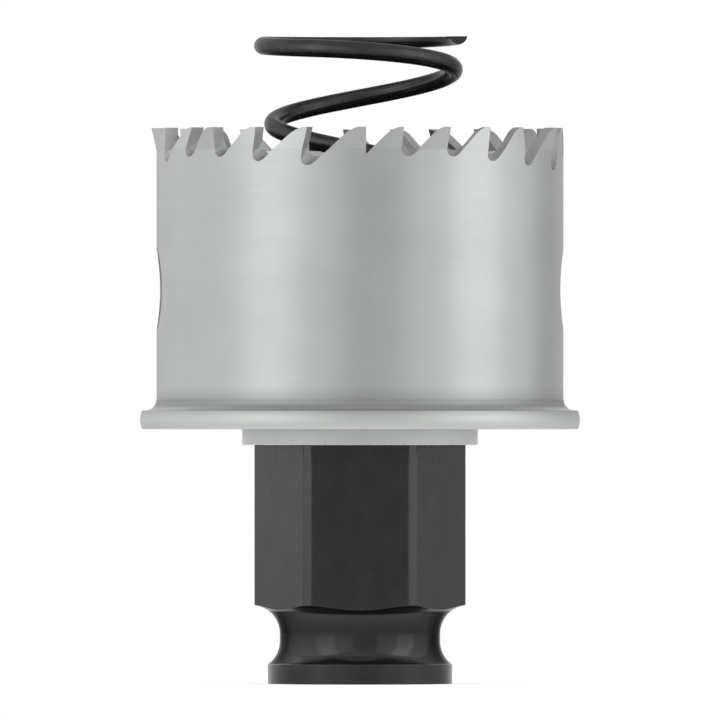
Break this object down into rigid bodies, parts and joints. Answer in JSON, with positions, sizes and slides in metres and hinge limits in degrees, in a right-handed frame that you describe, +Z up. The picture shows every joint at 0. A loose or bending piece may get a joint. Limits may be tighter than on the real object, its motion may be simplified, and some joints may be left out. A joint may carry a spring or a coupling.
{
  "type": "hole saw",
  "caption": "Cup hole saw with a rolled, set-tooth rim, a flanged base plate, a hexagonal quick-change boss with a latch groove and a conical ejector spring.",
  "frame": {"origin": "centre of the boss's foot, on the ground", "axes": "+Z up along the saw's axis from the boss to the teeth, -Y towards the front of the picture"},
  "size_m": [0.04, 0.04, 0.0589],
  "materials": {
    "black_oxide_steel": "black oxide, satin",
    "matte_steel": "matte",
    "plate_steel": "satin, turned",
    "cup_steel": "satin",
    "tip_steel": "satin, milled",
    "black_spring_steel": "black, satin"
  },
  "bodies": {
    "saw": {"hex_boss": "black_oxide_steel", "spacer_washer": "matte_steel", "base_plate": "plate_steel", "cup_strip": "cup_steel", "tooth_tips": "tip_steel"},
    "ejector": {"ejector_spring": "black_spring_steel"}
  },
  "joints": [
    {"name": "ejector_press", "type": "slide", "parent": "saw", "child": "ejector", "axis": [0, 0, -1], "range_m": [0, 0.0125], "stiffness_N_per_m": 7000, "deforming": ["ejector_spring"]}
  ]
}
